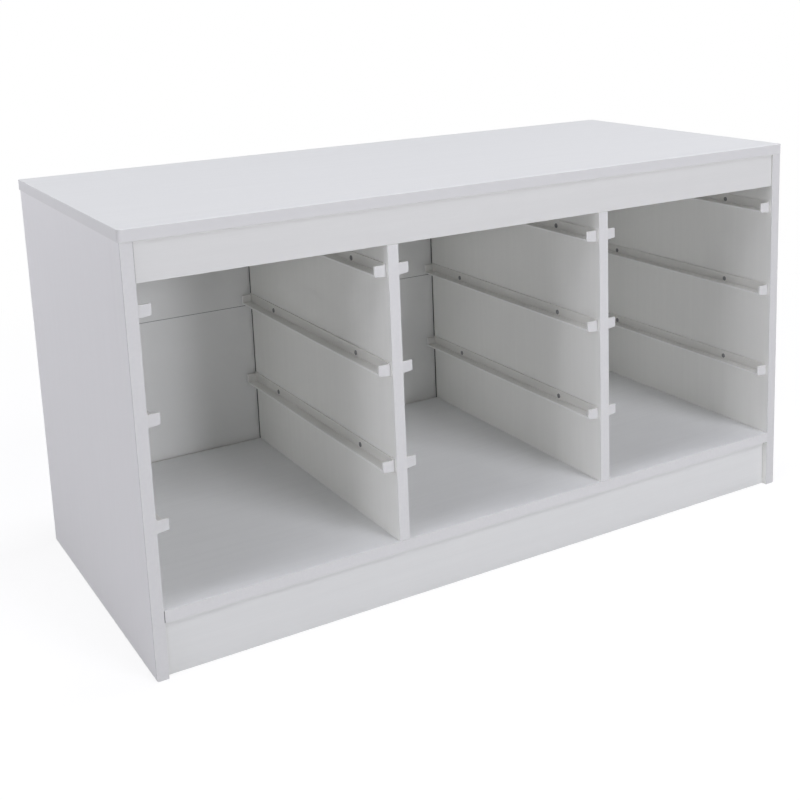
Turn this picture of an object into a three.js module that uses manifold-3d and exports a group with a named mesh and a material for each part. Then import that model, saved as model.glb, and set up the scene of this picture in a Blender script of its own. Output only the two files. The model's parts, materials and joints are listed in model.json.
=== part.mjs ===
// Storage frame with three bays of runners for pull-out tubs.
// Millimetres, +Z up. The front faces -Y, and the origin is under the middle of the frame, on the floor.

import * as THREE from 'three';
import { mergeVertices } from 'three/addons/utils/BufferGeometryUtils.js';
import Module from 'manifold-3d';

// Overall frame
const frameWidth = 1000; // over the outer faces of the side panels
const frameDepth = 462; // front edge to back edge of the side panels
const frameHeight = 540; // floor to the upper face of the top panel
const boardThickness = 15;
const clearance = 0.3; // around every fitting in its bore

// Top panel
const topSideOverhang = 1.5;
const topFrontOverhang = 3;
const topCornerRadius = 6;
const easedEdge = 0.75;

// Side panels, shelf, kick plate, front rail and back
const footRadius = 3; // outer lower edge of each side panel
const kickHeight = 71; // floor to the underside of the bottom shelf
const kickRecess = 8;
const railHeight = 48;
const railRecess = 2;
const backThickness = 3;
const backEdgeInset = 1; // edge of the back boards inside the outer faces
const backGap = 3; // back edges of the shelf and the dividers to the back boards

// Runners, one moulding for both hands
const runnerProtrusion = 16.5;
const runnerHeight = 17.5; // against the wall
const undersideRise = 2; // of the sloping underside, from the wall to the outer edge
const webThickness = 2.5;
const ledgeThickness = 2.5; // at the outer edge
const stopLength = 3; // plate that closes each end of the channel
const stopDrop = 1.75; // from the top of the web to the top of a stop
const runnerSetback = 5; // from the front and back edges of the uprights
const runnerCornerRadius = 0.8;
const topRunnerDrop = 32; // lower edge of the front rail to the screw line of the top runners
const runnerPitch = 128; // from each level of runners to the next

// Runner screws
const screwSpacing = 270;
const screwDrop = 8.5; // from the top of the runner to the screw line
const screwHeadDiameter = 6.6;
const screwHeadHeight = 0.8;
const screwHeadRim = 0.2; // straight part of the head's height
const screwHeadTop = 4.4; // diameter of the head's flat top
const screwShankDiameter = 3.5;
const screwTipGap = 2; // between the tips of two screws that meet inside a divider

// Cam fittings: a bolt in the face of one board, held by a cam inside the other
const camDiameter = 14.4;
const camSetback = 34; // cam centre to the end of its board
const camBoreFloor = 2.5; // board left behind the cam
const camWall = 1.9;
const camCapThickness = 3.4;
const camSlotWidth = 1.8;
const camSlotDepth = 1.6;
const boltThreadDiameter = 6;
const boltThreadFloor = 4; // board left behind the thread
const boltShankDiameter = 7.4;
const boltNeckDiameter = 4.4;
const boltNeckLength = 7;
const boltHeadDiameter = 7;
const boltHeadLength = 2.4;
const fittingInset = 50; // front and back edges to the nearest fittings

// Dowels and screws of the dividers
const dowelDiameter = 8;
const dowelLength = 30;
const dowelTopFloor = 5; // top panel left above a dowel
const dowelChamfer = 0.8;
const dividerScrewLength = 50;
const dividerScrewHeadDiameter = 10;
const dividerScrewHeadHeight = 3;
const dividerScrewShankDiameter = 7;
const dividerScrewThreadDiameter = 5;

// Facets of round shapes
const smallSides = 10;
const largeSides = 16;
const largestSmall = 9; // diameter up to which a round shape has the small count
const cornerSteps = 5;

const colours = {
  board: 0xe4e4e7,
  hardboard: 0xdcdcdf,
  plastic: 0xe9e9ea,
  metal: 0x9b9da1,
  wood: 0xcdb083,
};

const dividerNames = ['left_divider', 'right_divider'];
const levelNames = ['bottom', 'middle', 'top'];

const wasm = await Module();
wasm.setup();

// Faces that touch are kept on a grid of 1/32 mm, so that they are equal in 32-bit numbers
const gridStep = 1 / 32;
const onGrid = (value) => Math.round(value / gridStep) * gridStep;

// Planes that the boards share
const halfWidth = onGrid(frameWidth / 2);
const innerHalfWidth = onGrid(frameWidth / 2 - boardThickness);
const uprightFront = 0;
const uprightBack = onGrid(frameDepth);
const innerBack = onGrid(frameDepth - backGap);
const topLower = onGrid(frameHeight - boardThickness);
const topUpper = onGrid(frameHeight);
const shelfLower = onGrid(kickHeight);
const shelfUpper = onGrid(kickHeight + boardThickness);
const railLower = onGrid(frameHeight - boardThickness - railHeight);
const railFront = onGrid(railRecess);
const railBack = onGrid(railRecess + boardThickness);
const kickFront = onGrid(kickRecess);
const kickBack = onGrid(kickRecess + boardThickness);
const boardBack = onGrid(frameDepth + backThickness);

// Bays between the uprights, from left to right
const bayCount = dividerNames.length + 1;
const bayWidth = (frameWidth - 2 * boardThickness - dividerNames.length * boardThickness) / bayCount;
const bays = Array.from({ length: bayCount }, (_, index) => {
  const left = -frameWidth / 2 + boardThickness + index * (bayWidth + boardThickness);
  return { left: onGrid(left), right: onGrid(left + bayWidth) };
});

const up = new THREE.Vector3(0, 0, 1);
const down = new THREE.Vector3(0, 0, -1);
const back = new THREE.Vector3(0, 1, 0);

const part = new THREE.Group();
part.position.y = -(boardBack - onGrid(topFrontOverhang)) / 2;
const boardGroup = new THREE.Group();
const runnerGroup = new THREE.Group();
const fittingGroup = new THREE.Group();
part.add(boardGroup, runnerGroup, fittingGroup);

// Solids and geometries
function solidOf(geometry) {
  const bare = geometry.clone();
  bare.deleteAttribute('normal');
  bare.deleteAttribute('uv');
  const merged = mergeVertices(bare);
  const corners = merged.index.array;
  const triangles = [];
  for (let i = 0; i < corners.length; i += 3) {
    const [a, b, c] = corners.slice(i, i + 3);
    if (a !== b && b !== c && c !== a) triangles.push(a, b, c);
  }
  return new wasm.Manifold(new wasm.Mesh({
    numProp: 3,
    vertProperties: new Float32Array(merged.attributes.position.array),
    triVerts: new Uint32Array(triangles),
  }));
}

function geometryOf(solid) {
  const mesh = solid.getMesh();
  const geometry = new THREE.BufferGeometry();
  geometry.setAttribute('position', new THREE.BufferAttribute(mesh.vertProperties, 3));
  geometry.setIndex(new THREE.BufferAttribute(mesh.triVerts, 1));
  geometry.computeVertexNormals();
  return geometry;
}

function material(colour, roughness, metalness = 0) {
  return new THREE.MeshStandardMaterial({ color: colour, roughness, metalness, flatShading: true });
}

function addMesh(group, name, geometry, meshMaterial, frame) {
  const mesh = new THREE.Mesh(geometry, meshMaterial);
  mesh.name = name;
  mesh.applyMatrix4(frame);
  group.add(mesh);
  return mesh;
}

// A frame at a point: its z axis leaves the board's face, and its x axis is square to that
function frameAt(origin, zAxis, xAxis) {
  const yAxis = zAxis.clone().cross(xAxis);
  return new THREE.Matrix4().makeBasis(xAxis, yAxis, zAxis).setPosition(origin);
}

const sidesOf = (diameter) => (diameter > largestSmall ? largeSides : smallSides);

// A bar along z from one height to another
function bar(diameter, from, to, sides = sidesOf(diameter)) {
  return new THREE.CylinderGeometry(diameter / 2, diameter / 2, to - from, sides)
    .rotateX(Math.PI / 2)
    .translate(0, 0, (from + to) / 2);
}

// A box between two corners
function block(x, y, z) {
  return new THREE.BoxGeometry(x[1] - x[0], y[1] - y[0], z[1] - z[0])
    .translate((x[0] + x[1]) / 2, (y[0] + y[1]) / 2, (z[0] + z[1]) / 2);
}

// A body of revolution about z, from a profile of [radius, height]
function turned(profile) {
  const points = profile.map(([radius, height]) => new THREE.Vector2(radius, height));
  return new THREE.LatheGeometry(points, smallSides).rotateX(Math.PI / 2);
}

// Boards are cut after the fittings have drilled them
const boards = new Map();

function addBoard(name, geometry, colour = colours.board) {
  boards.set(name, { solid: solidOf(geometry), bores: [], colour });
}

// Drills along -z of a frame that lies on the board's surface. The bore's flats clear the round fitting.
function drill(name, frame, diameter, depth) {
  const sides = sidesOf(diameter);
  const acrossCorners = (diameter + 2 * clearance) / Math.cos(Math.PI / sides);
  const cutter = bar(acrossCorners, -depth - clearance, 1, sides).applyMatrix4(frame);
  boards.get(name).bores.push(solidOf(cutter));
}

function finishBoards() {
  for (const [name, { solid, bores, colour }] of boards) {
    const drilled = bores.reduce((rest, bore) => rest.subtract(bore), solid);
    const geometry = geometryOf(drilled);
    geometry.computeBoundingBox();
    const corner = geometry.boundingBox.min.clone();
    geometry.translate(-corner.x, -corner.y, -corner.z);
    addMesh(boardGroup, name, geometry, material(colour, 0.55), new THREE.Matrix4().setPosition(corner));
  }
}

// Top panel: rounded corners, eased upper and lower edges
function makeTopPanel() {
  const right = onGrid(frameWidth / 2 + topSideOverhang);
  const front = -onGrid(topFrontOverhang);
  const radius = topCornerRadius;
  const outline = new THREE.Shape()
    .moveTo(-right + radius, front)
    .lineTo(right - radius, front)
    .absarc(right - radius, front + radius, radius, -Math.PI / 2, 0)
    .lineTo(right, uprightBack)
    .lineTo(-right, uprightBack)
    .lineTo(-right, front + radius)
    .absarc(-right + radius, front + radius, radius, Math.PI, 1.5 * Math.PI);
  const geometry = new THREE.ExtrudeGeometry(outline, {
    depth: topUpper - topLower - 2 * easedEdge,
    curveSegments: cornerSteps,
    bevelSize: easedEdge,
    bevelThickness: easedEdge,
    bevelOffset: -easedEdge,
    bevelSegments: 2,
  });
  addBoard('top_panel', geometry.translate(0, 0, topLower + easedEdge));
}

// Side panels: full height, with the outer lower edge rounded
function makeSidePanel(name, side) {
  const outer = side * halfWidth;
  const inner = side * innerHalfWidth;
  const inwards = -side * footRadius;
  const outline = new THREE.Shape()
    .moveTo(inner, 0)
    .lineTo(outer + inwards, 0)
    .quadraticCurveTo(outer, 0, outer, footRadius)
    .lineTo(outer, topLower)
    .lineTo(inner, topLower);
  const geometry = new THREE.ExtrudeGeometry(outline, {
    depth: uprightBack - uprightFront,
    curveSegments: cornerSteps,
    bevelEnabled: false,
  });
  addBoard(name, geometry.rotateX(Math.PI / 2).translate(0, uprightBack, 0));
}

// Dividers: notched at the upper front for the rail
function makeDivider(name, index) {
  const left = bays[index].right;
  const right = bays[index + 1].left;
  const outline = new THREE.Shape()
    .moveTo(uprightFront, shelfUpper)
    .lineTo(innerBack, shelfUpper)
    .lineTo(innerBack, topLower)
    .lineTo(railBack, topLower)
    .lineTo(railBack, railLower)
    .lineTo(uprightFront, railLower);
  const geometry = new THREE.ExtrudeGeometry(outline, { depth: right - left, bevelEnabled: false });
  addBoard(name, geometry.rotateX(Math.PI / 2).rotateZ(Math.PI / 2).translate(left, 0, 0));
}

function makeBackBoards() {
  const edge = onGrid(frameWidth / 2 - backEdgeInset);
  const lower = onGrid(kickHeight + backEdgeInset);
  const upper = onGrid(frameHeight - backEdgeInset);
  const joint = onGrid((lower + upper) / 2);
  const halves = { back_board_lower: [lower, joint], back_board_upper: [joint, upper] };
  for (const [name, heights] of Object.entries(halves)) {
    addBoard(name, block([-edge, edge], [uprightBack, boardBack], heights), colours.hardboard);
  }
}

function makeBoards() {
  const betweenSides = [-innerHalfWidth, innerHalfWidth];
  makeTopPanel();
  makeSidePanel('left_side_panel', -1);
  makeSidePanel('right_side_panel', 1);
  dividerNames.forEach(makeDivider);
  addBoard('bottom_shelf', block(betweenSides, [uprightFront, innerBack], [shelfLower, shelfUpper]));
  addBoard('kick_plate', block(betweenSides, [kickFront, kickBack], [0, shelfLower]));
  addBoard('front_rail', block(betweenSides, [railFront, railBack], [railLower, topLower]));
  makeBackBoards();
}

// Runner: an L-section closed by a stop at each end, moulded with its two screws in place.
// Local frame: x leaves the wall, y runs along the wall, and z is 0 on the screw line.
const runnerLength = frameDepth - 2 * runnerSetback;
const topRunnerHeight = frameHeight - boardThickness - railHeight - topRunnerDrop;
const screwDepth = (boardThickness - screwTipGap) / 2;
const screwPlaces = [-screwSpacing / 2, screwSpacing / 2];

function makeRunnerGeometry() {
  const top = screwDrop;
  const bottom = screwDrop - runnerHeight;
  const tipBottom = bottom + undersideRise;
  const stopTop = top - stopDrop;
  const radius = runnerCornerRadius;
  const half = runnerLength / 2;

  const section = new THREE.Shape()
    .moveTo(0, bottom)
    .lineTo(runnerProtrusion - radius, tipBottom)
    .quadraticCurveTo(runnerProtrusion, tipBottom, runnerProtrusion, tipBottom + radius)
    .lineTo(runnerProtrusion, stopTop - radius)
    .quadraticCurveTo(runnerProtrusion, stopTop, runnerProtrusion - radius, stopTop)
    .lineTo(webThickness, stopTop)
    .lineTo(webThickness, top)
    .lineTo(0, top);
  const rail = new THREE.ExtrudeGeometry(section, {
    depth: runnerLength,
    curveSegments: 2,
    bevelEnabled: false,
  }).rotateX(Math.PI / 2).translate(0, half, 0);

  const plan = new THREE.Shape()
    .moveTo(0, -half)
    .lineTo(runnerProtrusion - radius, -half)
    .quadraticCurveTo(runnerProtrusion, -half, runnerProtrusion, -half + radius)
    .lineTo(runnerProtrusion, half - radius)
    .quadraticCurveTo(runnerProtrusion, half, runnerProtrusion - radius, half)
    .lineTo(0, half);
  const roundedEnds = new THREE.ExtrudeGeometry(plan, {
    depth: 2 * runnerHeight,
    curveSegments: 2,
    bevelEnabled: false,
  }).translate(0, 0, -runnerHeight);

  const channelEnd = half - stopLength;
  const channel = block(
    [webThickness, 2 * runnerProtrusion],
    [-channelEnd, channelEnd],
    [tipBottom + ledgeThickness, top + runnerHeight],
  );

  const headRadius = screwHeadDiameter / 2;
  const screw = turned([
    [0, -screwDepth],
    [screwShankDiameter / 2, -screwDepth + screwShankDiameter / 2],
    [screwShankDiameter / 2, webThickness / 2],
    [headRadius, webThickness / 2],
    [headRadius, webThickness + screwHeadRim],
    [screwHeadTop / 2, webThickness + screwHeadHeight],
    [0, webThickness + screwHeadHeight],
  ]).rotateY(Math.PI / 2);

  const moulding = solidOf(rail).intersect(solidOf(roundedEnds)).subtract(solidOf(channel));
  const screws = screwPlaces.map((place) => solidOf(screw.clone().translate(0, place, 0)));
  return geometryOf(screws.reduce((whole, next) => whole.add(next), moulding));
}

// Each wall of each bay carries one runner on every level
function makeRunners() {
  const geometry = makeRunnerGeometry();
  const uprights = ['left_side_panel', ...dividerNames, 'right_side_panel'];
  const middle = (uprightFront + uprightBack) / 2;
  bays.forEach((bay, index) => {
    const walls = [
      { hand: 'left', x: bay.left, inwards: 1, upright: uprights[index] },
      { hand: 'right', x: bay.right, inwards: -1, upright: uprights[index + 1] },
    ];
    for (const { hand, x, inwards, upright } of walls) {
      levelNames.forEach((level, step) => {
        const stepsDown = levelNames.length - 1 - step;
        const height = onGrid(topRunnerHeight - stepsDown * runnerPitch);
        const runner = addMesh(
          runnerGroup,
          `bay${index + 1}_${hand}_runner_${level}`,
          geometry.clone(),
          material(colours.plastic, 0.4),
          new THREE.Matrix4().setPosition(x, middle, height),
        );
        if (inwards < 0) runner.rotation.z = Math.PI;
        for (const place of screwPlaces) {
          const onWall = new THREE.Vector3(x, middle + inwards * place, height);
          const outwards = new THREE.Vector3(inwards, 0, 0);
          drill(upright, frameAt(onWall, outwards, up), screwShankDiameter, screwDepth);
        }
      });
    }
  });
}

// Cam: a cup that opens downwards, with a ramp that holds the bolt head and a gap for its neck.
// Local frame: z leaves the board's face, and x points to the board's end.
const camDepth = boardThickness - camBoreFloor;
const boltAxisDepth = boardThickness / 2;

function makeCamGeometry() {
  const radius = camDiameter / 2;
  const innerRadius = radius - camWall;
  const ramp = boltHeadLength / 2 + clearance;
  const neckGap = boltNeckDiameter / 2 + clearance;
  const cup = solidOf(bar(camDiameter, -camDepth, 0));
  const chamber = solidOf(bar(2 * innerRadius, -2 * camDepth, -camCapThickness))
    .intersect(solidOf(block([-radius, ramp], [-radius, radius], [-2 * camDepth, 0])));
  const gap = solidOf(block([0, camDiameter], [-neckGap, neckGap], [-2 * camDepth, -camCapThickness]));
  const slot = block([-innerRadius, innerRadius], [-camSlotWidth / 2, camSlotWidth / 2], [-camSlotDepth, 1]);
  const crossSlot = slot.clone().rotateZ(Math.PI / 2);
  const cuts = [chamber, gap, solidOf(slot), solidOf(crossSlot)];
  return geometryOf(cuts.reduce((rest, cut) => rest.subtract(cut), cup));
}

// Bolt: its thread sits in the face of the other board, and z points from that face to the cam
function makeBoltGeometry() {
  const thread = boltThreadDiameter / 2;
  const shank = boltShankDiameter / 2;
  const neck = boltNeckDiameter / 2;
  const head = boltHeadDiameter / 2;
  const headStart = camSetback - boltHeadLength / 2;
  const threadLength = boardThickness - boltThreadFloor;
  return turned([
    [0, -threadLength],
    [thread, -threadLength + thread / 2],
    [thread, 0],
    [shank, 0],
    [shank, headStart - boltNeckLength],
    [neck, headStart - boltNeckLength],
    [neck, headStart],
    [head, headStart],
    [head, headStart + boltHeadLength],
    [0, headStart + boltHeadLength],
  ]);
}

// A cam joint between the end of one board and the face of another
function addCamJoint({ camName, boltName, camBoard, faceBoard, joint, towardsEnd, camFace }) {
  const intoCamBoard = towardsEnd.clone().negate();
  const cross = camFace.clone();
  const boltFrame = frameAt(joint, intoCamBoard, cross);
  const camCentre = joint.clone()
    .addScaledVector(intoCamBoard, camSetback)
    .addScaledVector(camFace, boltAxisDepth);
  const camFrame = frameAt(camCentre, camFace, towardsEnd);
  addMesh(fittingGroup, boltName, makeBoltGeometry(), material(colours.metal, 0.35, 1), boltFrame);
  addMesh(fittingGroup, camName, makeCamGeometry(), material(colours.metal, 0.45, 1), camFrame);
  drill(faceBoard, boltFrame, boltThreadDiameter, boardThickness - boltThreadFloor);
  drill(camBoard, frameAt(joint, towardsEnd, cross), boltShankDiameter, camSetback);
  drill(camBoard, camFrame, camDiameter, camDepth);
}

const fittingRows = { front: fittingInset, rear: frameDepth - fittingInset };

function addCamJoints() {
  for (const [hand, side] of [['left', -1], ['right', 1]]) {
    const outwards = new THREE.Vector3(side, 0, 0);
    const panel = `${hand}_side_panel`;
    for (const [row, y] of Object.entries(fittingRows)) {
      addCamJoint({
        camName: `${hand}_side_cam_${row}`,
        boltName: `${hand}_side_bolt_${row}`,
        camBoard: panel,
        faceBoard: 'top_panel',
        joint: new THREE.Vector3(side * (innerHalfWidth + boltAxisDepth), y, topLower),
        towardsEnd: up,
        camFace: outwards.clone().negate(),
      });
      addCamJoint({
        camName: `shelf_${hand}_cam_${row}`,
        boltName: `shelf_${hand}_bolt_${row}`,
        camBoard: 'bottom_shelf',
        faceBoard: panel,
        joint: new THREE.Vector3(side * innerHalfWidth, y, shelfLower + boltAxisDepth),
        towardsEnd: outwards,
        camFace: down,
      });
    }
    const crossMembers = [
      { name: 'rail', board: 'front_rail', y: railFront, z: (railLower + topLower) / 2 },
      { name: 'kick', board: 'kick_plate', y: kickFront, z: kickHeight / 2 },
    ];
    for (const { name, board, y, z } of crossMembers) {
      addCamJoint({
        camName: `${name}_cam_${hand}`,
        boltName: `${name}_bolt_${hand}`,
        camBoard: board,
        faceBoard: panel,
        joint: new THREE.Vector3(side * innerHalfWidth, y + boltAxisDepth, z),
        towardsEnd: outwards,
        camFace: back,
      });
    }
  }
}

// Dividers stand on screws through the shelf and are located in the top panel by dowels
function addDividerFittings() {
  const dowelTop = boardThickness - dowelTopFloor;
  const dowelBottom = dowelTop - dowelLength;
  const dowelRadius = dowelDiameter / 2;
  const head = dividerScrewHeadDiameter / 2;
  const shank = dividerScrewShankDiameter / 2;
  const thread = dividerScrewThreadDiameter / 2;
  dividerNames.forEach((name, index) => {
    const x = (bays[index].right + bays[index + 1].left) / 2;
    for (const [row, y] of Object.entries(fittingRows)) {
      const dowel = turned([
        [0, dowelBottom],
        [dowelRadius - dowelChamfer, dowelBottom],
        [dowelRadius, dowelBottom + dowelChamfer],
        [dowelRadius, dowelTop - dowelChamfer],
        [dowelRadius - dowelChamfer, dowelTop],
        [0, dowelTop],
      ]);
      const topJoint = new THREE.Vector3(x, y, topLower);
      const sideways = new THREE.Vector3(1, 0, 0);
      const dowelFrame = frameAt(topJoint, up, sideways);
      addMesh(fittingGroup, `${name}_dowel_${row}`, dowel, material(colours.wood, 0.8), dowelFrame);
      drill('top_panel', frameAt(topJoint, down, sideways), dowelDiameter, dowelTop);
      drill(name, dowelFrame, dowelDiameter, -dowelBottom);

      const screw = turned([
        [0, 0],
        [head, 0],
        [shank, dividerScrewHeadHeight],
        [shank, boardThickness - clearance],
        [thread, boardThickness - clearance],
        [thread, dividerScrewLength - thread],
        [0, dividerScrewLength],
      ]);
      const underShelf = new THREE.Vector3(x, y, shelfLower);
      const screwFrame = frameAt(underShelf, up, sideways);
      addMesh(fittingGroup, `${name}_screw_${row}`, screw, material(colours.metal, 0.35, 1), screwFrame);
      const shelfFrame = frameAt(underShelf, down, sideways);
      drill('bottom_shelf', shelfFrame, dividerScrewHeadDiameter, dividerScrewHeadHeight);
      drill('bottom_shelf', shelfFrame, dividerScrewShankDiameter, 2 * boardThickness);
      const onShelf = new THREE.Vector3(x, y, shelfUpper);
      const threadDepth = dividerScrewLength - boardThickness;
      drill(name, frameAt(onShelf, down, sideways), dividerScrewThreadDiameter, threadDepth);
    }
  });
}

makeBoards();
makeRunners();
addCamJoints();
addDividerFittings();
finishBoards();

export default part;
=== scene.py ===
"""White storage frame with three bays of runners for pull-out tubs.

Metres, +Z up, the front faces -Y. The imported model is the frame, and this script adds the finish,
the small parts, the light and the camera.
"""

import json
import math
import random

import bmesh
import bpy
from mathutils import Matrix, Vector

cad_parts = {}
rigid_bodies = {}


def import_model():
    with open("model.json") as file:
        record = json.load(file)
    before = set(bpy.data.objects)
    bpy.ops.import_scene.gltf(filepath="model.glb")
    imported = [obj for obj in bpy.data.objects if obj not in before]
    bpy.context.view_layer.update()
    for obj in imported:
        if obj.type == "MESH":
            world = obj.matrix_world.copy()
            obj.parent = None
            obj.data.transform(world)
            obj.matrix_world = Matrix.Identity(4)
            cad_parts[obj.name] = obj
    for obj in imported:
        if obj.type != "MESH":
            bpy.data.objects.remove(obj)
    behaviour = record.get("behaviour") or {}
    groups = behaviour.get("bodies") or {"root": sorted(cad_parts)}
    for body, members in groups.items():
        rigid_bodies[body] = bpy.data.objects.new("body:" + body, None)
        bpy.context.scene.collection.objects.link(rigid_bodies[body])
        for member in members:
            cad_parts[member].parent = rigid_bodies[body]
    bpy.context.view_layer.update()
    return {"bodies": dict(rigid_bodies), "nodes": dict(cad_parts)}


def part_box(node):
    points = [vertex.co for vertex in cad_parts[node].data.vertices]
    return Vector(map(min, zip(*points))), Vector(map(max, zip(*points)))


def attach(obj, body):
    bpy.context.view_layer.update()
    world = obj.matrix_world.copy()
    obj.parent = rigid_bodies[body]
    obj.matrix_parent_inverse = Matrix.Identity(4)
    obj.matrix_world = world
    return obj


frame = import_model()
nodes = frame["nodes"]
for leftover in set(bpy.data.objects) - set(nodes.values()) - set(frame["bodies"].values()):
    bpy.data.objects.remove(leftover)

scene = bpy.context.scene
MM = 0.001

# Camera, fitted to the straight edges of the photograph
IMAGE_SIZE = 800
SENSOR = 36.0
FOCAL_PIXELS = 1236.28
CENTRE_X, CENTRE_Y = 467.46, 235.23
CAMERA_PLACE = (-0.86980, -1.54488, 0.79198)
TURN_Z, TILT, ROLL = -0.554856, 1.368093, -0.029592


def make_camera():
    data = bpy.data.cameras.new("camera")
    data.sensor_width = SENSOR
    data.lens = FOCAL_PIXELS * SENSOR / IMAGE_SIZE
    data.shift_x = (IMAGE_SIZE / 2 - CENTRE_X) / IMAGE_SIZE
    data.shift_y = (CENTRE_Y - IMAGE_SIZE / 2) / IMAGE_SIZE
    camera = bpy.data.objects.new("camera", data)
    turn = Matrix.Rotation(TURN_Z, 4, "Z") @ Matrix.Rotation(TILT, 4, "X")
    turn = turn @ Matrix.Rotation(ROLL, 4, "Z")
    camera.matrix_world = Matrix.Translation(CAMERA_PLACE) @ turn
    scene.collection.objects.link(camera)
    scene.camera = camera


# Noise lies mostly between these two values
NOISE_LOW, NOISE_HIGH = 0.3, 0.7


class Graph:
    """Adds shader nodes to one material or world, with their inputs given by name"""

    def __init__(self, owner):
        owner.use_nodes = True
        self.tree = owner.node_tree
        self.tree.nodes.clear()

    def put(self, socket, value):
        """Links a socket to another node's output, or sets it to a value"""
        if isinstance(value, bpy.types.NodeSocket):
            self.tree.links.new(value, socket)
        else:
            socket.default_value = value

    def node(self, kind, inputs=None, **settings):
        made = self.tree.nodes.new(kind)
        for name, value in settings.items():
            setattr(made, name, value)
        for name, value in (inputs or {}).items():
            self.put(made.inputs[name], value)
        return made

    def math(self, operation, *values, clamp=False):
        made = self.node("ShaderNodeMath", operation=operation, use_clamp=clamp)
        for socket, value in zip(made.inputs, values):
            self.put(socket, value)
        return made.outputs[0]

    def mix(self, factor, low, high):
        """A colour between two colours. Sockets 6 and 7 and output 2 are the ones for colours"""
        made = self.node("ShaderNodeMix", data_type="RGBA")
        self.put(made.inputs["Factor"], factor)
        self.put(made.inputs[6], low)
        self.put(made.inputs[7], high)
        return made.outputs[2]

    def place(self):
        """The point on the object, in metres"""
        return self.node("ShaderNodeTexCoord").outputs["Object"]

    def axes(self):
        """The point on the object as three numbers, named X, Y and Z"""
        return self.node("ShaderNodeSeparateXYZ", {"Vector": self.place()}).outputs

    def normal(self):
        return self.node("ShaderNodeNewGeometry").outputs["True Normal"]

    def scaled(self, scale, shift=(0, 0, 0)):
        """The point on the object, scaled along each axis and then moved"""
        inputs = {"Vector": self.place(), "Scale": scale, "Location": shift}
        return self.node("ShaderNodeMapping", inputs).outputs[0]

    def noise(self, vector, scale, detail, roughness=0.5, distortion=0.0):
        inputs = {
            "Vector": vector, "Scale": scale, "Detail": detail,
            "Roughness": roughness, "Distortion": distortion,
        }
        return self.node("ShaderNodeTexNoise", inputs).outputs["Fac"]

    def spread(self, value, low, high, to_low=0.0, to_high=1.0):
        """Moves the range from low to high to another range"""
        made = self.node(
            "ShaderNodeMapRange",
            {"From Min": low, "From Max": high, "To Min": to_low, "To Max": to_high},
        )
        self.put(made.inputs["Value"], value)
        return made.outputs[0]

    def even(self, noise, to_low=0.0, to_high=1.0):
        """Noise stretched to a whole range"""
        return self.spread(noise, NOISE_LOW, NOISE_HIGH, to_low, to_high)

    def bump(self, height, distance, strength=0.5):
        inputs = {"Height": height, "Distance": distance, "Strength": strength}
        return self.node("ShaderNodeBump", inputs).outputs[0]

    def seen(self):
        """1 for the rays that show a background: straight, mirrored or through glass"""
        path = self.node("ShaderNodeLightPath")
        seen = self.math("MAXIMUM", path.outputs["Is Camera Ray"], path.outputs["Is Glossy Ray"])
        return self.math("MAXIMUM", seen, path.outputs["Is Transmission Ray"])

    def finish(self, **inputs):
        shader = self.node("ShaderNodeBsdfPrincipled", inputs)
        self.node("ShaderNodeOutputMaterial", {"Surface": shader.outputs[0]})


def new_material(name):
    material = bpy.data.materials.new(name)
    return material, Graph(material)


def rgb(red, green, blue):
    return (red, green, blue, 1.0)


# Colours, linear. The white foil of the boards is one material, with lit and shaded copies of it
# painted per board and per face
FOIL = rgb(0.788, 0.785, 0.767)
FOIL_DARK = rgb(0.762, 0.759, 0.742)
# Painted light: the outside of the top panel, a little lighter than the foil
TOP = rgb(0.813, 0.819, 0.802)
TOP_DARK = rgb(0.791, 0.797, 0.780)
SIDE = rgb(0.784, 0.777, 0.771)
SIDE_DARK = rgb(0.766, 0.759, 0.753)
# Painted light: the faces inside the bays, lighter than the same foil outside
INNER = rgb(0.888, 0.887, 0.850)
INNER_DARK = rgb(0.859, 0.858, 0.822)
BACK = rgb(0.873, 0.877, 0.857)
BACK_DARK = rgb(0.843, 0.847, 0.828)
# Painted light: the top of the shelf, lighter than the same foil outside
SHELF = rgb(0.877, 0.884, 0.879)
SHELF_DARK = rgb(0.847, 0.854, 0.849)
# Painted shade: the front rail, darker than the same foil
RAIL = rgb(0.701, 0.700, 0.674)
RAIL_DARK = rgb(0.678, 0.677, 0.652)
# Painted shade: the kick plate, darker than the same foil
KICK = rgb(0.730, 0.733, 0.708)
KICK_DARK = rgb(0.706, 0.709, 0.685)
# Painted shade: edge banding, darker in front, darkest on the side panels and less dark at the ends
# of the top
BAND = rgb(0.672, 0.669, 0.655)
BAND_DARK = rgb(0.651, 0.648, 0.635)
SIDE_BAND = rgb(0.640, 0.637, 0.625)
SIDE_BAND_DARK = rgb(0.620, 0.617, 0.606)
END_BAND = rgb(0.714, 0.709, 0.700)
END_BAND_DARK = rgb(0.692, 0.687, 0.678)
# Painted shade: the front faces of the runners' front ends, darker than the same plastic
STOP = rgb(0.648, 0.645, 0.632)
PLASTIC = rgb(0.862, 0.858, 0.824)
PLASTIC_DARK = rgb(0.840, 0.836, 0.800)
# Painted shade: the upright side faces of the runners, darker than the same plastic
WEB = rgb(0.782, 0.774, 0.738)
# Painted light: the outer lip of the runners, lighter than the same plastic
LIP = rgb(0.910, 0.906, 0.884)
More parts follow.
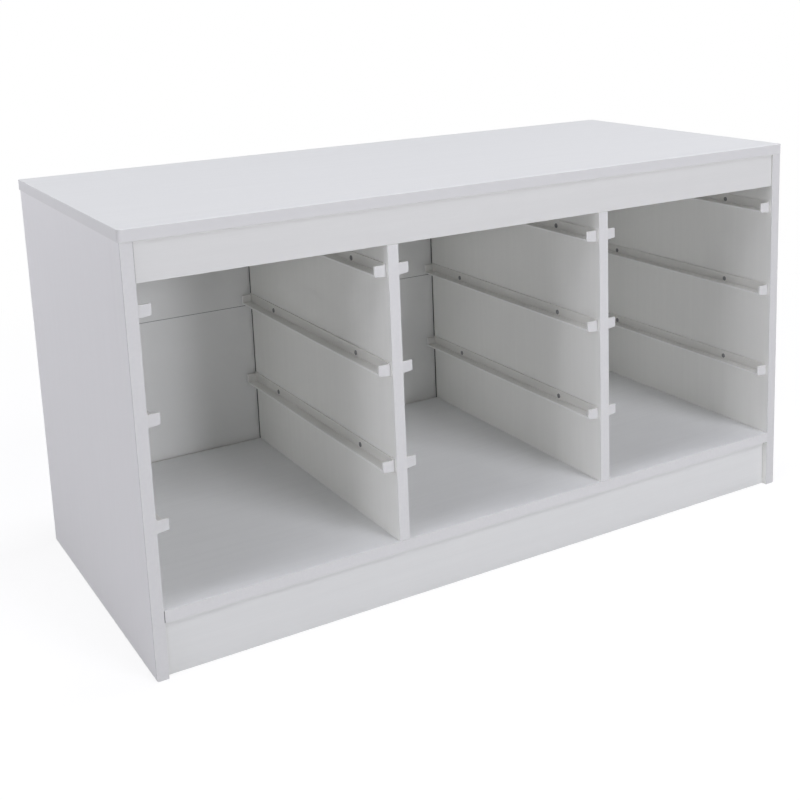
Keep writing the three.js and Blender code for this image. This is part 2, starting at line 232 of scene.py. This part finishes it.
# Painted shade, put in the narrow gaps and seams between parts where shade falls
GAP_SHADE = rgb(0.080, 0.080, 0.080)
CHIP = rgb(0.50, 0.36, 0.22)
CHIP_DARK = rgb(0.24, 0.15, 0.08)
FIBRE = rgb(0.34, 0.23, 0.14)
BEECH = rgb(0.60, 0.40, 0.22)
BEECH_DARK = rgb(0.42, 0.25, 0.13)
ZINC = rgb(0.62, 0.63, 0.65)
ZINC_DARK = rgb(0.45, 0.46, 0.48)
SCREW = rgb(0.340, 0.340, 0.346)
SCREW_DARK = rgb(0.220, 0.220, 0.225)
SCREW_RIM = rgb(0.300, 0.300, 0.305)
STEEL = rgb(0.50, 0.50, 0.51)
STEEL_DARK = rgb(0.32, 0.32, 0.33)
WHITE = rgb(1, 1, 1)

# Ways that a face can point, and how nearly it has to
FACING = {
    "+X": (1, 0, 0), "-X": (-1, 0, 0),
    "+Y": (0, 1, 0), "-Y": (0, -1, 0),
    "+Z": (0, 0, 1), "-Z": (0, 0, -1),
}
FACING_LIMIT = 0.8
UPRIGHT_LIMIT = 0.6


def facing_mask(graph, directions):
    """1 on faces that point one of these ways, and 0 elsewhere"""
    normal = graph.normal()
    total = 0.0
    for name in directions:
        inputs = {0: normal, 1: FACING[name]}
        dot = graph.node("ShaderNodeVectorMath", inputs, operation="DOT_PRODUCT")
        hit = graph.math("GREATER_THAN", dot.outputs["Value"], FACING_LIMIT)
        total = graph.math("ADD", total, hit, clamp=True)
    return total


def gap_shade_mask(graph, joints):
    """1 on faces that point a given way, between two places along an axis, where shade is painted
    in a gap
    """
    axes = graph.axes()
    total = 0.0
    for facing, axis, low, high in joints:
        after = graph.math("GREATER_THAN", axes[axis], low)
        before = graph.math("LESS_THAN", axes[axis], high)
        between = graph.math("MULTIPLY", after, before)
        hit = graph.math("MULTIPLY", facing_mask(graph, (facing,)), between)
        total = graph.math("ADD", total, hit, clamp=True)
    return total


def turned(graph, axis):
    """How much a face is turned to one axis, either way round: 0 to 1"""
    normal = graph.node("ShaderNodeSeparateXYZ", {"Vector": graph.normal()})
    return graph.math("ABSOLUTE", normal.outputs[axis])


def upright_mask(graph):
    """1 on faces that stand upright, rounded corners too, and 0 elsewhere"""
    return graph.math("LESS_THAN", turned(graph, "Z"), UPRIGHT_LIMIT)


def nearest(graph, coordinate, places):
    """Distance from a coordinate to the nearest of some places"""
    best = None
    for place in places:
        gap = graph.math("ABSOLUTE", graph.math("SUBTRACT", coordinate, place))
        best = gap if best is None else graph.math("MINIMUM", best, gap)
    return best


# Embossed grain of the foil: fine pores and wider bands, both drawn out along the board.
# The shifts, times a board's seed, keep two boards from being alike
PORE_SCALE, PORE_STRETCH = 900.0, 0.022
PORE_LOW, PORE_HIGH = 0.42, 0.66
PORE_SHIFT = (1.0, 1.7, 0.6)
GRAIN_SCALE, GRAIN_STRETCH = 110.0, 0.045
GRAIN_SHIFT = (0.3, 1.0, 1.3)
PORE_SHARE = 0.28
PORE_HEIGHT = 0.6
FOIL_ROUGHNESS = 0.62
FOIL_SPECULAR = 0.2
FOIL_RELIEF = 0.08 * MM

# Raw edges of particle board
CHIP_SCALE = 420.0
CHIP_HEIGHT = 3.0
RAW_ROUGHNESS = 0.9


def drawn_out(graph, along, stretch, shift, seed):
    """Places for noise that is drawn out along one axis"""
    scale = [1.0, 1.0, 1.0]
    scale[along] = stretch
    return graph.scaled(scale, [seed * part for part in shift])


def grain_maps(graph, along, seed):
    """Pores and bands of a grain that runs along one axis"""
    place = drawn_out(graph, along, PORE_STRETCH, PORE_SHIFT, seed)
    pores = graph.noise(place, PORE_SCALE, detail=3.0, roughness=0.62)
    pores = graph.spread(pores, PORE_LOW, PORE_HIGH)
    place = drawn_out(graph, along, GRAIN_STRETCH, GRAIN_SHIFT, seed)
    bands = graph.noise(place, GRAIN_SCALE, detail=4.0, roughness=0.6, distortion=0.35)
    return pores, bands


def edge_tone(graph, bands):
    """Edge banding in painted shade, darker in front than at the ends of the board"""
    front = graph.mix(bands, BAND_DARK, BAND)
    end = graph.mix(bands, END_BAND_DARK, END_BAND)
    return graph.mix(turned(graph, "X"), front, end)


def board_material(
    name, along, seed, inner=(), raw=(), banded=False, joints=(),
    outside=(FOIL_DARK, FOIL), inside=(INNER_DARK, INNER),
):
    """Foil with its grain along one axis. Faces inside the bays are painted lighter and banded
    edges darker, as lit and shaded copies of the foil; other edges are raw, and the shade in the
    joints is painted dark"""
    material, graph = new_material(name)
    pores, bands = grain_maps(graph, along, seed)
    tone = graph.math("MULTIPLY", graph.even(bands), 1 - PORE_SHARE)
    tone = graph.math("ADD", tone, graph.math("MULTIPLY", pores, PORE_SHARE))
    foil = graph.mix(
        facing_mask(graph, inner), graph.mix(tone, *outside), graph.mix(tone, *inside)
    )
    if banded:
        foil = graph.mix(upright_mask(graph), foil, edge_tone(graph, bands))

    inputs = {"Vector": graph.place(), "Scale": CHIP_SCALE}
    chips = graph.node("ShaderNodeTexVoronoi", inputs, distance="CHEBYCHEV")
    chip = graph.node("ShaderNodeSeparateColor", {"Color": chips.outputs["Color"]}).outputs[0]
    is_raw = facing_mask(graph, raw)
    colour = graph.mix(is_raw, foil, graph.mix(chip, CHIP_DARK, CHIP))
    # Painted shade in the gaps and seams
    if joints:
        colour = graph.mix(gap_shade_mask(graph, joints), colour, GAP_SHADE)

    roughness = FOIL_ROUGHNESS
    if raw:
        roughness = graph.spread(is_raw, 0.0, 1.0, FOIL_ROUGHNESS, RAW_ROUGHNESS)
    height = graph.math("ADD", graph.math("MULTIPLY", pores, PORE_HEIGHT), bands)
    chip_height = graph.math("MULTIPLY", chip, CHIP_HEIGHT)
    height = graph.math("ADD", height, graph.math("MULTIPLY", is_raw, chip_height))
    graph.finish(**{
        "Base Color": colour,
        "Roughness": roughness,
        "Specular IOR Level": FOIL_SPECULAR,
        "Normal": graph.bump(height, FOIL_RELIEF),
    })
    return material


def band_material(name, dark, light):
    material, graph = new_material(name)
    ripple = graph.noise(graph.place(), scale=260.0, detail=3.0)
    graph.finish(**{
        "Base Color": graph.mix(graph.even(ripple), dark, light),
        "Roughness": 0.42,
        "Normal": graph.bump(ripple, distance=0.04 * MM),
    })
    return material


BACKS = ("back_board_lower", "back_board_upper")
DIVIDERS = ("left_divider", "right_divider")
BACK_JOINT = 0.35 * MM
BACK_ROUGHNESS = 0.5


def back_material():
    """Painted hardboard with raw edges, with painted shade at the joint of its halves and on the
    strips behind the dividers
    """
    material, graph = new_material("back_board")
    cloud = graph.noise(graph.place(), scale=14.0, detail=3.0)
    fibre = graph.noise(graph.place(), scale=700.0, detail=3.0, roughness=0.6)
    face = graph.mix(graph.even(cloud), BACK_DARK, BACK)
    edge = graph.mix(fibre, CHIP_DARK, FIBRE)
    is_raw = facing_mask(graph, ("+X", "-X", "+Z", "-Z"))
    axes = graph.axes()
    to_joint = nearest(graph, axes["Z"], (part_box("back_board_lower")[1].z,))
    is_joint_shade = graph.math("LESS_THAN", to_joint, BACK_JOINT)
    boxes = [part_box(name) for name in DIVIDERS]
    middles = [(low.x + high.x) / 2 for low, high in boxes]
    reach = (boxes[0][1].x - boxes[0][0].x) / 2
    is_behind = graph.math("LESS_THAN", nearest(graph, axes["X"], middles), reach)
    is_behind = graph.math("MULTIPLY", is_behind, facing_mask(graph, ("-Y",)))
    # Painted shade at the joint and behind the dividers
    is_shaded = graph.math("MAXIMUM", is_joint_shade, is_behind)
    graph.finish(**{
        "Base Color": graph.mix(is_shaded, graph.mix(is_raw, face, edge), GAP_SHADE),
        "Roughness": graph.spread(is_raw, 0.0, 1.0, BACK_ROUGHNESS, RAW_ROUGHNESS),
        "Normal": graph.bump(fibre, distance=0.03 * MM),
    })
    return material


# Runners and their screws, from the sizes of the part. The runners on the left wall of a bay
# stand out towards +x, and those on the right wall towards -x
BAYS = (1, 2, 3)
HANDS = {"left": 1, "right": -1}
SCREW_YS = (-0.135, 0.135)
SCREW_HEIGHTS = {"bottom": 0.189, "middle": 0.317, "top": 0.445}
RUNNER_REACH = 16.5 * MM
WEB_THICKNESS = 2.5 * MM
# Radius of a screw head, the y in front of which the front ends lie, where their fronts get painted
# shade, and width of the outer lip, which is painted lighter
SCREW_MASK = 3.35 * MM
STOP_END = -0.210
LIP_DEPTH = 1.3 * MM


def runner_tip(bay, hand, level):
    """x of the side of a runner that is away from its wall"""
    low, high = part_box(f"bay{bay}_{hand}_runner_{level}")
    return high.x if HANDS[hand] > 0 else low.x


def plastic_material():
    """Moulded plastic with painted light and shade: the webs are painted darker, the outer lips
    lighter and the front ends darker. The heads of the screws, which are one solid with the
    moulding, are dark metal"""
    material, graph = new_material("runner_plastic")
    axes = graph.axes()
    across = graph.math("POWER", nearest(graph, axes["Y"], SCREW_YS), 2.0)
    rise = graph.math("POWER", nearest(graph, axes["Z"], SCREW_HEIGHTS.values()), 2.0)
    reach = graph.math("SQRT", graph.math("ADD", across, rise))
    is_screw = graph.math("LESS_THAN", reach, SCREW_MASK)
    flow = graph.noise(graph.scaled((1.0, 0.2, 1.0)), scale=120.0, detail=2.0)
    grit = graph.noise(graph.place(), scale=2600.0, detail=2.0)
    white = graph.mix(graph.even(flow), PLASTIC_DARK, PLASTIC)
    # Painted shade on the side faces
    white = graph.mix(facing_mask(graph, ("-X", "+X")), white, WEB)
    tips = [runner_tip(bay, hand, "top") for bay in BAYS for hand in HANDS]
    # Painted light on the outer lip
    is_lip = graph.math("LESS_THAN", nearest(graph, axes["X"], tips), LIP_DEPTH)
    white = graph.mix(is_lip, white, LIP)
    # Painted shade on the front faces of the front ends
    is_front = graph.math("LESS_THAN", axes["Y"], STOP_END)
    is_stop = graph.math("MULTIPLY", facing_mask(graph, ("-Y",)), is_front)
    white = graph.mix(is_stop, white, STOP)
    graph.finish(**{
        "Base Color": graph.mix(is_screw, white, SCREW_RIM),
        "Metallic": is_screw,
        "Roughness": graph.even(grit, 0.32, 0.42),
        "Normal": graph.bump(grit, distance=0.01 * MM),
    })
    return material


METAL_ROUGHNESS_RANGE = 0.12


def metal_material(name, dark, light, roughness, scale):
    material, graph = new_material(name)
    cloud = graph.noise(graph.place(), scale, detail=3.0, roughness=0.6)
    graph.finish(**{
        "Base Color": graph.mix(graph.even(cloud), dark, light),
        "Metallic": 1.0,
        "Roughness": graph.even(cloud, roughness, roughness + METAL_ROUGHNESS_RANGE),
        "Normal": graph.bump(cloud, distance=0.03 * MM, strength=0.4),
    })
    return material


def beech_material():
    material, graph = new_material("beech")
    fleck = graph.noise(graph.scaled((1.0, 1.0, 0.08)), scale=1500.0, detail=3.0)
    graph.finish(**{
        "Base Color": graph.mix(graph.even(fleck), BEECH_DARK, BEECH),
        "Roughness": 0.7,
        "Normal": graph.bump(fleck, distance=0.05 * MM),
    })
    return material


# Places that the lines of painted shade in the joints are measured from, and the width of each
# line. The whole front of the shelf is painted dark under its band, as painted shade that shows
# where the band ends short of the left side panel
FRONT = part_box("left_side_panel")[0].y
SHELF_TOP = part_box("bottom_shelf")[1].z
BAY_LEFT, BAY_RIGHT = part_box("front_rail")[0].x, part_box("front_rail")[1].x
SIDE_JOINT = 0.5 * MM
DIVIDER_JOINT = 1.0 * MM
SHELF_PAST = 1.0 * MM
RAIL_JOINT_LEFT = 0.92 * MM
RAIL_JOINT_RIGHT = 0.4 * MM

# The axis of the grain, 0 for x and 2 for z, and the finish of each board, with its lit or shaded
# copy of the foil and its lines of painted shade
ALONG_X, ALONG_Z = 0, 2
# Painted shade on the raw front of a divider, in the gap between its band and the shelf
FOOT_OF_DIVIDER = ("-Y", "Z", SHELF_TOP, SHELF_TOP + DIVIDER_JOINT)
BOARDS = {
    "top_panel": {
        "along": ALONG_X, "seed": 1.3, "inner": ("-Z",), "raw": ("+Y",), "banded": True,
        "outside": (TOP_DARK, TOP),
    },
    "left_side_panel": {
        "along": ALONG_Z, "seed": 2.9, "inner": ("+X",), "raw": ("+Y", "-Z", "-Y"),
        "outside": (SIDE_DARK, SIDE), "joints": [("-X", "Y", FRONT, FRONT + SIDE_JOINT)],
    },
    "right_side_panel": {
        "along": ALONG_Z, "seed": 4.1, "inner": ("-X",), "raw": ("+Y", "-Z", "-Y"),
        "outside": (SIDE_DARK, SIDE), "joints": [("+X", "Y", FRONT, FRONT + SIDE_JOINT)],
    },
    "left_divider": {
        "along": ALONG_Z, "seed": 5.7, "inner": ("-X", "+X"), "raw": ("+Y", "-Y"),
        "joints": [FOOT_OF_DIVIDER],
    },
    "right_divider": {
        "along": ALONG_Z, "seed": 7.3, "inner": ("-X", "+X"), "raw": ("+Y", "-Y"),
        "joints": [FOOT_OF_DIVIDER],
    },
    "bottom_shelf": {
        "along": ALONG_X, "seed": 8.9, "inner": ("+Z",), "raw": ("+Y",),
        "inside": (SHELF_DARK, SHELF),
        "joints": [("-Y", "X", BAY_LEFT - SHELF_PAST, BAY_RIGHT + SHELF_PAST)],
    },
    "kick_plate": {
        "along": ALONG_X, "seed": 10.1, "raw": ("-Z",), "outside": (KICK_DARK, KICK),
    },
    "front_rail": {
        "along": ALONG_X, "seed": 11.7, "inner": ("+Y",), "outside": (RAIL_DARK, RAIL),
        "joints": [
            ("-Y", "X", BAY_LEFT, BAY_LEFT + RAIL_JOINT_LEFT),
            ("-Y", "X", BAY_RIGHT - RAIL_JOINT_RIGHT, BAY_RIGHT),
        ],
    },
}

# Rounding of the nodes' edges
EDGE_ROUNDING = 0.25 * MM
BACK_ROUNDING = 0.5 * MM
ROUNDING_SEGMENTS = 2
ROUNDING_ANGLE = math.radians(40)
WELD_REACH = 1e-5


def dress(node, material, bevel=0.0):
    """Gives a node its finish, and rounds its edges where a bevel width is given"""
    data = node.data
    data.materials.clear()
    data.materials.append(material)
    weld = node.modifiers.new("weld", "WELD")
    weld.merge_threshold = WELD_REACH
    if bevel:
        rounding = node.modifiers.new("rounding", "BEVEL")
        rounding.width = bevel
        rounding.segments = ROUNDING_SEGMENTS
        rounding.limit_method = "ANGLE"
        rounding.angle_limit = ROUNDING_ANGLE


def dress_nodes():
    for name, finish in BOARDS.items():
        dress(nodes[name], board_material(name, **finish), EDGE_ROUNDING)
    back = back_material()
    for name in BACKS:
        dress(nodes[name], back, BACK_ROUNDING)
    plastic = plastic_material()
    zinc = metal_material("zinc", ZINC_DARK, ZINC, roughness=0.34, scale=900.0)
    beech = beech_material()
    for name, node in nodes.items():
        if "_runner_" in name:
            dress(node, plastic, EDGE_ROUNDING)
        elif "_dowel_" in name:
            dress(node, beech)
        elif name not in BOARDS and name not in BACKS:
            dress(node, zinc)


def add_piece(name, build, material):
    """A new mesh, made by a function that fills a bmesh, with the finish that it is given"""
    shape = bmesh.new()
    build(shape)
    bmesh.ops.recalc_face_normals(shape, faces=shape.faces)
    data = bpy.data.meshes.new(name)
    shape.to_mesh(data)
    shape.free()
    data.materials.append(material)
    piece = bpy.data.objects.new(name, data)
    scene.collection.objects.link(piece)
    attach(piece, "root")


# Edge banding on the front edges
BAND_THICKNESS = 0.4 * MM
BAND_ROUNDING = 0.18 * MM
BAND_SEGMENTS = 2
SIDE_FOOT = 3 * MM
SIDE_FOOT_STEPS = 5
SHELF_BAND_GAP = 0.8 * MM
FOOT_GAP = 0.3 * MM


def add_band(name, outline, material):
    """A strip of banding on the front of the boards, from an outline in x and z. Its front edges
    are rounded"""

    def build(shape):
        back = [shape.verts.new((x, FRONT, z)) for x, z in outline]
        front = [shape.verts.new((x, FRONT - BAND_THICKNESS, z)) for x, z in outline]
        shape.faces.new(back)
        lid = shape.faces.new(list(reversed(front)))
        count = len(outline)
        for i in range(count):
            j = (i + 1) % count
            shape.faces.new((back[j], back[i], front[i], front[j]))
        bmesh.ops.bevel(
            shape, geom=list(lid.edges), offset=BAND_ROUNDING, segments=BAND_SEGMENTS,
            profile=0.5, affect="EDGES", clamp_overlap=True,
        )

    add_piece(name, build, material)


def rectangle(x0, x1, z0, z1):
    return [(x0, z0), (x1, z0), (x1, z1), (x0, z1)]


def make_bands():
    band = band_material("edge_band", BAND_DARK, BAND)
    # Painted shade: the banding on the side panels is a darker copy of the same band
    side_band = band_material("side_edge_band", SIDE_BAND_DARK, SIDE_BAND)
    low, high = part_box("left_side_panel")
    for name, side in (("left_side_band", -1), ("right_side_band", 1)):
        outer, inner = side * -low.x, side * -high.x
        # The outer lower corner is rounded, as the panel's is
        curve = []
        for step in range(SIDE_FOOT_STEPS + 1):
            t = step / SIDE_FOOT_STEPS
            curve.append((outer - side * SIDE_FOOT * (1 - t) ** 2, SIDE_FOOT * t ** 2))
        add_band(name, [(inner, 0.0), *curve, (outer, high.z), (inner, high.z)], side_band)
    rail_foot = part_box("front_rail")[0].z
    for name in DIVIDERS:
        low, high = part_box(name)
        outline = rectangle(low.x, high.x, SHELF_TOP + FOOT_GAP, rail_foot)
        add_band(f"{name}_band", outline, band)
    low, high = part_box("bottom_shelf")
    add_band("shelf_band", rectangle(low.x + SHELF_BAND_GAP, high.x, low.z, high.z), band)


def add_turned(shape, profile, sides, spot):
    """A turned form with a closed foot. The profile gives radius and height, and spot puts
    a local point in its place. Returns the last ring"""
    rings = []
    for radius, height in profile:
        ring = []
        for i in range(sides):
            angle = 2 * math.pi * i / sides
            place = spot(radius * math.cos(angle), radius * math.sin(angle), height)
            ring.append(shape.verts.new(place))
        rings.append(ring)
    shape.faces.new(list(reversed(rings[0])))
    for lower, upper in zip(rings, rings[1:]):
        for i in range(sides):
            j = (i + 1) % sides
            shape.faces.new((lower[i], lower[j], upper[j], upper[i]))
    return rings[-1]


# Heads of the runner screws. The rim is a share of the height, and the flat a share of the radius
HEAD_RADIUS = 3.4 * MM
HEAD_HEIGHT = 1.1 * MM
HEAD_RIM = 0.25
HEAD_FLAT = 0.45
HEAD_SIDES = 24
HEAD_STEPS = 6
HEAD_SEED = 7

# Their cross recess: half its length, half its width, its depth, and the size of its floor
CROSS_ARM = 1.5 * MM
CROSS_WAIST = 0.38 * MM
CROSS_DEPTH = 0.8 * MM
CROSS_FLOOR = 0.75


def head_profile():
    """Pan head from its rim to the edge of the recess: radius, height"""
    profile = [(HEAD_RADIUS, 0.0), (HEAD_RADIUS, HEAD_RIM * HEAD_HEIGHT)]
    for step in range(1, HEAD_STEPS):
        angle = math.radians(90) * step / HEAD_STEPS
        radius = HEAD_RADIUS * (HEAD_FLAT + (1 - HEAD_FLAT) * math.cos(angle))
        height = HEAD_HEIGHT * (HEAD_RIM + (1 - HEAD_RIM) * math.sin(angle))
        profile.append((radius, height))
    return profile


def add_head(shape, matrix):
    """Screw head on local z, with a cross recess in its top"""

    def spot(x, y, height):
        return matrix @ Vector((x, y, height))

    rim = add_turned(shape, head_profile(), HEAD_SIDES, spot)
    arm, waist = CROSS_ARM, CROSS_WAIST
    cross = [
        (arm, -waist), (arm, waist), (waist, waist), (waist, arm),
        (-waist, arm), (-waist, waist), (-arm, waist), (-arm, -waist),
        (-waist, -waist), (-waist, -arm), (waist, -arm), (waist, -waist),
    ]
    depth = HEAD_HEIGHT - CROSS_DEPTH
    lip = [shape.verts.new(spot(x, y, HEAD_HEIGHT)) for x, y in cross]
    floor = [shape.verts.new(spot(x * CROSS_FLOOR, y * CROSS_FLOOR, depth)) for x, y in cross]
    for i in range(len(cross)):
        j = (i + 1) % len(cross)
        shape.faces.new((lip[i], lip[j], floor[j], floor[i]))
    shape.faces.new(floor)

    def nearest_lip(i):
        """The point of the cross that is nearest to a point of the rim"""
        angle = 2 * math.pi * i / HEAD_SIDES
        reach = Vector((math.cos(angle), math.sin(angle))) * arm
        return min(range(len(cross)), key=lambda k: (Vector(cross[k]) - reach).length)

    # The flat top joins each pair of rim points to the nearest points of the cross
    for i in range(HEAD_SIDES):
        j = (i + 1) % HEAD_SIDES
        a, b = nearest_lip(i), nearest_lip(j)
        corners = [rim[i], rim[j], lip[b]]
        while b != a:
            b = (b - 1) % len(cross)
            corners.append(lip[b])
        shape.faces.new(corners)


def make_screws():
    metal = metal_material("screw_metal", SCREW_DARK, SCREW, roughness=0.42, scale=2500.0)
    turns = random.Random(HEAD_SEED)
    for bay in BAYS:
        for hand, side in HANDS.items():

            def build(shape):
                for level, height in SCREW_HEIGHTS.items():
                    # The screws reach into the board, so the wall is found from the moulding's tip
                    web = runner_tip(bay, hand, level) - side * (RUNNER_REACH - WEB_THICKNESS)
                    for y in SCREW_YS:
                        turn = Matrix.Rotation(turns.uniform(0, math.pi / 2), 4, "Z")
                        lean = Matrix.Rotation(side * math.pi / 2, 4, "Y")
                        place = Matrix.Translation((web, y, height))
                        add_head(shape, place @ lean @ turn)

            add_piece(f"bay{bay}_{hand}_screw_heads", build, metal)


# Nails of the back boards. The profile gives shares of the radius, and heights in millimetres
NAIL_RADIUS = 2.6 * MM
NAIL_SIDES = 14
NAIL_PROFILE = ((1.0, 0.0), (1.0, 0.45), (0.8, 0.75), (0.35, 0.9))

# Their places: from the boards' edges, in line with the dividers, from the ends of each column,
# and from the joint. Each is off its place by up to NAIL_SLIP, in millimetres
NAIL_INSET = 6.5 * MM
NAIL_COLUMN = 0.16416
NAIL_ENDS = (45 * MM, 125 * MM)
NAIL_TO_JOINT = 12 * MM
NAILS_IN_ROW = 10
NAIL_SLIP = 1.5
NAIL_SEED = 11


def add_nail(shape, x, y, z):
    """Nail head on the y axis"""
    profile = [(NAIL_RADIUS * share, rise * MM) for share, rise in NAIL_PROFILE]
    rim = add_turned(
        shape, profile, NAIL_SIDES, lambda across, up, rise: (x + across, y + rise, z + up)
    )
    shape.faces.new(rim)


def make_nails():
    steel = metal_material("nail_steel", STEEL_DARK, STEEL, roughness=0.38, scale=1500.0)
    low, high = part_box("back_board_lower")
    back, joint = high.y, high.z
    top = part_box("back_board_upper")[1].z
    slips = random.Random(NAIL_SEED)

    def slip():
        return slips.uniform(-NAIL_SLIP, NAIL_SLIP) * MM

    places = []
    rows = [low.z + end for end in NAIL_ENDS]
    rows += [joint - NAIL_TO_JOINT, joint + NAIL_TO_JOINT]
    rows += [top - end for end in reversed(NAIL_ENDS)]
    for x in (low.x + NAIL_INSET, -NAIL_COLUMN, NAIL_COLUMN, high.x - NAIL_INSET):
        for z in rows:
            places.append((x + slip(), z + slip()))
    span = high.x - low.x - 2 * NAIL_INSET
    for z in (low.z + NAIL_INSET, top - NAIL_INSET):
        for i in range(NAILS_IN_ROW):
            x = low.x + NAIL_INSET + span * i / (NAILS_IN_ROW - 1)
            places.append((x + slip(), z + slip()))

    def build(shape):
        for x, z in places:
            add_nail(shape, x, back, z)

    add_piece("back_nails", build, steel)


# The floor reflects light as FLOOR_WHITE. It is shown as FLOOR_SHADE with a glow near the object,
# and fades to white between two distances from it
FLOOR_HALF = 20.0
FLOOR_WHITE = rgb(0.60, 0.60, 0.60)
FLOOR_SHADE = rgb(0.20, 0.20, 0.203)
FLOOR_GLOW = 0.84
FADE_START, FADE_END = 0.8, 1.7
AMBIENT = 0.005


def make_floor():
    """A pale floor that keeps the shadow of the object and turns white away from it"""
    material, graph = new_material("floor")
    reach = graph.node("ShaderNodeVectorMath", {0: graph.place()}, operation="LENGTH")
    far = graph.spread(reach.outputs["Value"], FADE_START, FADE_END)
    plain = graph.node("ShaderNodeBsdfDiffuse", {"Color": FLOOR_WHITE})
    shade = graph.node("ShaderNodeBsdfDiffuse", {"Color": FLOOR_SHADE})
    glow = graph.node("ShaderNodeEmission", {"Color": WHITE, "Strength": FLOOR_GLOW})
    near = graph.node("ShaderNodeAddShader", {0: shade.outputs[0], 1: glow.outputs[0]})
    white = graph.node("ShaderNodeEmission", {"Color": WHITE, "Strength": 1.0})
    shown = graph.node(
        "ShaderNodeMixShader", {0: far, 1: near.outputs[0], 2: white.outputs[0]}
    )
    shader = graph.node(
        "ShaderNodeMixShader", {0: graph.seen(), 1: plain.outputs[0], 2: shown.outputs[0]}
    )
    graph.node("ShaderNodeOutputMaterial", {"Surface": shader.outputs[0]})
    data = bpy.data.meshes.new("floor")
    corners = [(-1, -1), (1, -1), (1, 1), (-1, 1)]
    data.from_pydata([(x * FLOOR_HALF, y * FLOOR_HALF, 0) for x, y in corners], [], [(0, 1, 2, 3)])
    data.materials.append(material)
    floor = bpy.data.objects.new("floor", data)
    scene.collection.objects.link(floor)


def make_world():
    """White where it is seen, and a faint light on the object"""
    world = bpy.data.worlds.new("studio")
    scene.world = world
    graph = Graph(world)
    light = graph.node("ShaderNodeBackground", {"Color": WHITE, "Strength": AMBIENT})
    white = graph.node("ShaderNodeBackground", {"Color": WHITE, "Strength": 1.0})
    shader = graph.node(
        "ShaderNodeMixShader", {0: graph.seen(), 1: light.outputs[0], 2: white.outputs[0]}
    )
    graph.node("ShaderNodeOutputWorld", {"Surface": shader.outputs[0]})


LAMP_COLOUR = (0.978, 0.980, 1.053)
LAMP_AIM = Vector((0, 0, 0.27))
# Azimuth, elevation, distance, diameter, power. Azimuth 0 is in front, and 90 is on the right
LAMPS = [
    (-120, 25, 2.4, 0.67, 7.2),
    (-40, 8, 5.0, 1.4, 20.4),
    (-60, 45, 5.0, 1.4, 13.8),
    (-80, 25, 5.0, 1.4, 28.2),
    (0, 45, 5.0, 1.4, 10.8),
    (0, 88, 5.0, 1.4, 62.0),
    (20, 45, 5.0, 1.4, 42.0),
    (20, 8, 5.0, 1.4, 43.5),
    (90, 45, 5.0, 1.4, 71.7),
    (-30, 14, 5.0, 0.7, 7.8),
    (-70, 14, 5.0, 0.7, 15.9),
    (10, 14, 5.0, 0.7, 43.2),
    (-160, 8, 5.0, 1.4, 38.0),
]


def make_lamps():
    """Round lamps that stand about the object and face it"""
    for azimuth, elevation, distance, size, power in LAMPS:
        data = bpy.data.lights.new(f"lamp_{azimuth}_{elevation}", "AREA")
        data.shape = "DISK"
        data.size = size
        data.energy = power
        data.color = LAMP_COLOUR
        lamp = bpy.data.objects.new(data.name, data)
        a, e = math.radians(azimuth), math.radians(elevation)
        direction = Vector((math.sin(a) * math.cos(e), -math.cos(a) * math.cos(e), math.sin(e)))
        turn = direction.to_track_quat("Z", "Y").to_matrix().to_4x4()
        lamp.matrix_world = Matrix.Translation(LAMP_AIM + distance * direction) @ turn
        lamp.visible_camera = False
        scene.collection.objects.link(lamp)


make_camera()
dress_nodes()
make_bands()
make_screws()
make_nails()
make_floor()
make_world()
make_lamps()

scene.view_settings.view_transform = "Standard"
